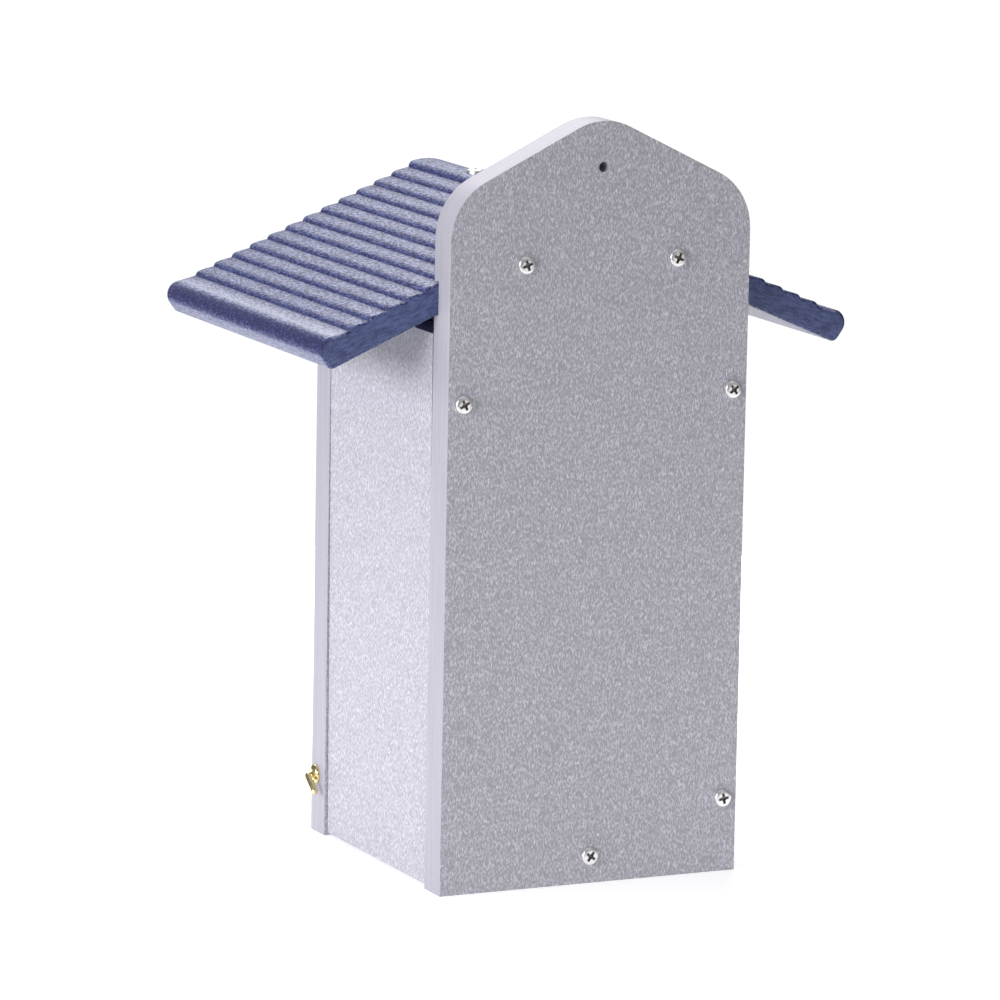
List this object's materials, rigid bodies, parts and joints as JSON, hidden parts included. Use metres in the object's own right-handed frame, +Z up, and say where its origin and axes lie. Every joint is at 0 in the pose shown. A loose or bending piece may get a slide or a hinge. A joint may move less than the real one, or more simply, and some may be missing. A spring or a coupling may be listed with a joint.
{
  "type": "bluebird house",
  "caption": "Gabled bluebird nest box with a ribbed ridged roof, a taller rounded back panel with a hanging hole, a round entrance, and a hooked side door that swings out from its bottom.",
  "frame": {"origin": "middle of the whole house in X and Y, at the height of the panels' lower edges, on which it stands", "axes": "+Z up; -Y out of the front, which has the entrance; +Y out of the back, which has the hanging hole; +X to the right of someone who faces the front, where the door is"},
  "size_m": [0.269, 0.1974, 0.3569],
  "materials": {
    "grey_board": "pale grey recycled plastic board with a fine vertical fleck",
    "blue_board": "deep blue recycled plastic board with a satin sheen",
    "stainless_screw": "plain stainless steel",
    "brass_hook": "bright brass plate"
  },
  "bodies": {
    "house": {"back_panel": "grey_board", "front_panel": "grey_board", "fixed_side": "grey_board", "floor_panel": "grey_board", "roof_board_right": "blue_board", "roof_board_left": "blue_board", "back_roof_screws": "stainless_screw", "back_side_screws": "stainless_screw", "back_floor_screw": "stainless_screw", "front_side_screws": "stainless_screw", "front_floor_screw": "stainless_screw", "ridge_screw": "stainless_screw"},
    "door": {"side_door": "grey_board", "rear_pivot_screw": "stainless_screw", "front_pivot_screw": "stainless_screw"},
    "hook": {"door_hook": "brass_hook"}
  },
  "joints": [
    {"name": "door_hinge", "type": "hinge", "parent": "house", "child": "door", "pos_m": [0.0688, 0, 0.22942], "axis": [0, -1, 0], "range_deg": [0, 90]},
    {"name": "hook_turn", "type": "hinge", "parent": "house", "child": "hook", "pos_m": [0.0762, -0.04605, 0.028], "axis": [-1, 0, 0], "range_deg": [-35, 145]}
  ]
}
